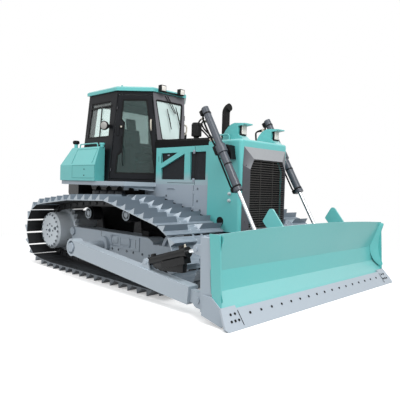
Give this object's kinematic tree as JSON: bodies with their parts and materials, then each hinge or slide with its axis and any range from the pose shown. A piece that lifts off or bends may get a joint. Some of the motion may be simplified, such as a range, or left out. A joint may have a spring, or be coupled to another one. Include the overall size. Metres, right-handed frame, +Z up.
{
  "type": "crawler bulldozer",
  "caption": "Crawler bulldozer with wide swamp tracks, a straight blade that lifts and tilts on push arms and cylinders, and a six-sided glazed cab with two hinged doors.",
  "frame": {"origin": "on the ground under the middle of the whole machine's box, between the drawbar's end and the blade's cutting edge", "axes": "+X forward towards the blade, +Y to the driver's left, +Z up"},
  "size_m": [5.4369, 4.1462, 3.254],
  "materials": {
    "teal": "satin",
    "grey": "satin",
    "charcoal": "satin",
    "black": "matte",
    "track_steel": "worn",
    "edge_steel": "worn",
    "rod_chrome": "polished",
    "cab_glass": "clear",
    "soft_trim": "matte",
    "exhaust_steel": "matte"
  },
  "bodies": {
    "machine": {"bezel": "charcoal", "cab_frame": "charcoal", "cab_glass": "cab_glass", "cab_lamps": "black", "cab_roof": "teal", "console": "black", "deck": "grey", "drawbar": "grey", "engine": "black", "equalizer_bar": "grey", "exhaust": "exhaust_steel", "filler_cap": "teal", "grille": "black", "handrails": "teal", "hoist_blocks": "grey", "hood": "black", "idler_left": "grey", "idler_right": "grey", "lamp_pods": "teal", "lower_covers": "grey", "main_frame": "grey", "nose": "teal", "pre_cleaner": "black", "radiator": "black", "rear_tank": "teal", "rollers_left": "grey", "rollers_right": "grey", "seat": "soft_trim", "side_meshes": "black", "side_panel_left": "teal", "side_panel_right": "teal", "side_tank_left": "teal", "side_tank_right": "teal", "sprocket_left": "grey", "sprocket_right": "grey", "track_frame_left": "grey", "track_frame_right": "grey", "track_left": "track_steel", "track_right": "track_steel"},
    "lift_balls": {"arm_sockets": "grey"},
    "blade": {"mouldboard": "teal", "blade_frame": "grey", "blade_lugs": "grey", "cutting_edge": "edge_steel", "push_arm_left": "grey", "pitch_brace": "grey"},
    "right_arm": {"push_arm_right": "grey"},
    "tilt_cylinder": {"tilt_barrel": "black"},
    "tilt_piston": {"tilt_rod": "rod_chrome"},
    "hoist_cylinder_right": {"hoist_barrel_right": "charcoal"},
    "hoist_cylinder_left": {"hoist_barrel_left": "charcoal"},
    "hoist_piston_right": {"hoist_rod_right": "rod_chrome"},
    "hoist_piston_left": {"hoist_rod_left": "rod_chrome"},
    "right_door": {"door_right": "charcoal", "door_glass_right": "cab_glass"},
    "left_door": {"door_left": "charcoal", "door_glass_left": "cab_glass"}
  },
  "joints": [
    {"name": "blade_lift", "type": "hinge", "parent": "machine", "child": "lift_balls", "pos_m": [-0.6485, 0, 0.49], "axis": [0, -1, 0], "range_deg": [-8, 18]},
    {"name": "blade_tilt", "type": "hinge", "parent": "lift_balls", "child": "blade", "pos_m": [-0.6485, 1.82, 0.49], "axis": [0.8325, -0.5472, -0.0872], "range_deg": [-4.2, 4.2]},
    {"name": "arm_swing", "type": "hinge", "parent": "lift_balls", "child": "right_arm", "pos_m": [-0.6485, -1.82, 0.49], "axis": [0, 1, 0], "range_deg": [-2.4, 2.4]},
    {"name": "tilt_cylinder_swing", "type": "hinge", "parent": "right_arm", "child": "tilt_cylinder", "pos_m": [1.1315, -1.82, 0.5], "axis": [0, -1, 0], "range_deg": [-0.7, 0.7]},
    {"name": "tilt_stroke", "type": "slide", "parent": "tilt_cylinder", "child": "tilt_piston", "axis": [0.9606, 0, 0.2781], "range_m": [-0.047, 0.047]},
    {"name": "hoist_right_swing", "type": "hinge", "parent": "machine", "child": "hoist_cylinder_right", "pos_m": [1.3785, -0.755, 2.016], "axis": [0, -1, 0], "range_deg": [-7.6, 16.9]},
    {"name": "hoist_right_stroke", "type": "slide", "parent": "hoist_cylinder_right", "child": "hoist_piston_right", "axis": [0.5002, 0, -0.8659], "range_m": [-0.79, 0.352]},
    {"name": "hoist_left_swing", "type": "hinge", "parent": "machine", "child": "hoist_cylinder_left", "pos_m": [1.3785, 0.755, 2.016], "axis": [0, -1, 0], "range_deg": [-7.6, 16.9]},
    {"name": "hoist_left_stroke", "type": "slide", "parent": "hoist_cylinder_left", "child": "hoist_piston_left", "axis": [0.5002, 0, -0.8659], "range_m": [-0.79, 0.352]},
    {"name": "right_door_hinge", "type": "hinge", "parent": "machine", "child": "right_door", "pos_m": [-1.09028, -0.85258, 2.32783], "axis": [-0.0405, -0.0747, -0.9964], "range_deg": [0, 90]},
    {"name": "left_door_hinge", "type": "hinge", "parent": "machine", "child": "left_door", "pos_m": [-1.09028, 0.85258, 2.32783], "axis": [0.0405, -0.0747, 0.9964], "range_deg": [0, 90]}
  ],
  "couplings": [
    {"joint": "arm_swing", "follows": "blade_tilt", "ratio": 0.5465},
    {"joint": "tilt_cylinder_swing", "follows": "blade_tilt", "ratio": 0.13},
    {"joint": "tilt_stroke", "follows": "blade_tilt", "m_per_rad": -0.616},
    {"joint": "hoist_right_swing", "follows": "blade_lift", "ratio": 0.93},
    {"joint": "hoist_right_stroke", "follows": "blade_lift", "m_per_rad": -2.507},
    {"joint": "hoist_left_swing", "follows": "blade_lift", "ratio": 0.93},
    {"joint": "hoist_left_stroke", "follows": "blade_lift", "m_per_rad": -2.507}
  ]
}
